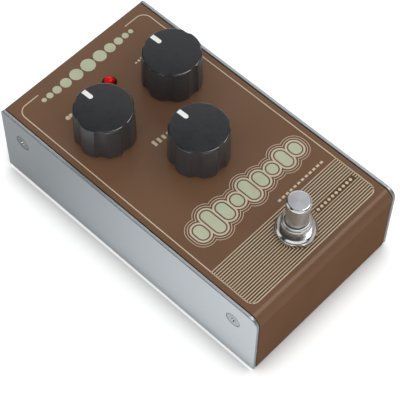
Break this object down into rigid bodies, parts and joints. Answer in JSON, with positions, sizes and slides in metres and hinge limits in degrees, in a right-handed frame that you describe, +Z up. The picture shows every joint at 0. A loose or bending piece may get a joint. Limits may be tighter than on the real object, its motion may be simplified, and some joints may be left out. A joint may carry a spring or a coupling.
{
  "type": "analog delay pedal",
  "caption": "Compact foot pedal: bent metal shell between side plates, turning knobs, red lamp, sprung foot switch, sockets at the rear and the works inside.",
  "frame": {"origin": "middle of the footprint, on the surface that the feet stand on", "axes": "+X the player's right, +Y the rear with the sockets, +Z up"},
  "size_m": [0.074, 0.1322, 0.0553],
  "materials": {
    "brown_paint": "smooth satin enamel",
    "satin_aluminium": "fine satin",
    "zinc_steel": "zinc plated",
    "chrome": "polished",
    "nickelled_brass": "nickel plated",
    "black_knob": "satin",
    "black_plastic": "moulded",
    "white_plastic": "moulded",
    "cream_plastic": "moulded",
    "red_lens": "clear red epoxy",
    "black_rubber": "matt",
    "board_green": "solder mask",
    "battery_wrap": "printed sleeve, left plain",
    "red_wire": "insulation",
    "black_wire": "insulation",
    "grey_ribbon": "insulation",
    "blue_sleeve": "shrink sleeve"
  },
  "bodies": {
    "case": {"base_plate": "zinc_steel", "base_screw_1": "zinc_steel", "base_screw_2": "zinc_steel", "base_screw_3": "zinc_steel", "base_screw_4": "zinc_steel", "battery": "battery_wrap", "battery_lead_black": "black_wire", "battery_lead_red": "red_wire", "battery_snap": "black_plastic", "clock_chip": "black_plastic", "clock_trimmer": "white_plastic", "delay_chip": "black_plastic", "filter_capacitor_1": "blue_sleeve", "filter_capacitor_2": "blue_sleeve", "footswitch_body": "black_plastic", "footswitch_lower_nut": "chrome", "footswitch_nut": "chrome", "footswitch_spring": "zinc_steel", "footswitch_washer": "zinc_steel", "input_jack": "black_plastic", "input_jack_nut": "nickelled_brass", "input_jack_washer": "zinc_steel", "lamp": "red_lens", "lamp_spacer": "white_plastic", "left_side_plate": "satin_aluminium", "main_board": "board_green", "mix_pot": "zinc_steel", "mix_pot_nut": "nickelled_brass", "output_jack": "black_plastic", "output_jack_nut": "nickelled_brass", "output_jack_washer": "zinc_steel", "power_jack": "black_plastic", "power_jack_pin": "nickelled_brass", "repeats_pot": "zinc_steel", "repeats_pot_nut": "nickelled_brass", "right_side_plate": "satin_aluminium", "rubber_foot_1": "black_rubber", "rubber_foot_2": "black_rubber", "rubber_foot_3": "black_rubber", "rubber_foot_4": "black_rubber", "side_screw_1": "zinc_steel", "side_screw_2": "zinc_steel", "side_screw_3": "zinc_steel", "side_screw_4": "zinc_steel", "switch_ribbon": "grey_ribbon", "time_pot": "zinc_steel", "time_pot_nut": "nickelled_brass", "top_shell": "brown_paint"},
    "time_turning": {"time_knob": "black_knob", "time_pointer": "white_plastic", "time_shaft": "cream_plastic"},
    "mix_turning": {"mix_knob": "black_knob", "mix_pointer": "white_plastic", "mix_shaft": "cream_plastic"},
    "repeats_turning": {"repeats_knob": "black_knob", "repeats_pointer": "white_plastic", "repeats_shaft": "cream_plastic"},
    "switch_cap": {"footswitch_plunger": "chrome"},
    "trimmer_rotor": {"clock_trimmer_rotor": "nickelled_brass"}
  },
  "joints": [
    {"name": "time_turn", "type": "hinge", "parent": "case", "child": "time_turning", "pos_m": [-0.0175, 0.02673, 0.03605], "axis": [0, 0, 1], "range_deg": [-150, 150]},
    {"name": "mix_turn", "type": "hinge", "parent": "case", "child": "mix_turning", "pos_m": [0.0175, 0.02673, 0.03605], "axis": [0, 0, 1], "range_deg": [-150, 150]},
    {"name": "repeats_turn", "type": "hinge", "parent": "case", "child": "repeats_turning", "pos_m": [0, -0.00377, 0.03605], "axis": [0, 0, 1], "range_deg": [-150, 150]},
    {"name": "footswitch_press", "type": "slide", "parent": "case", "child": "switch_cap", "axis": [0, 0, -1], "range_m": [0, 0.003], "stiffness_N_per_m": 2500, "springref_m": -0.002, "deforming": ["footswitch_spring"]},
    {"name": "trimmer_turn", "type": "hinge", "parent": "case", "child": "trimmer_rotor", "pos_m": [0, 0.02405, 0.021], "axis": [0, 0, -1], "range_deg": [-135, 135]}
  ]
}
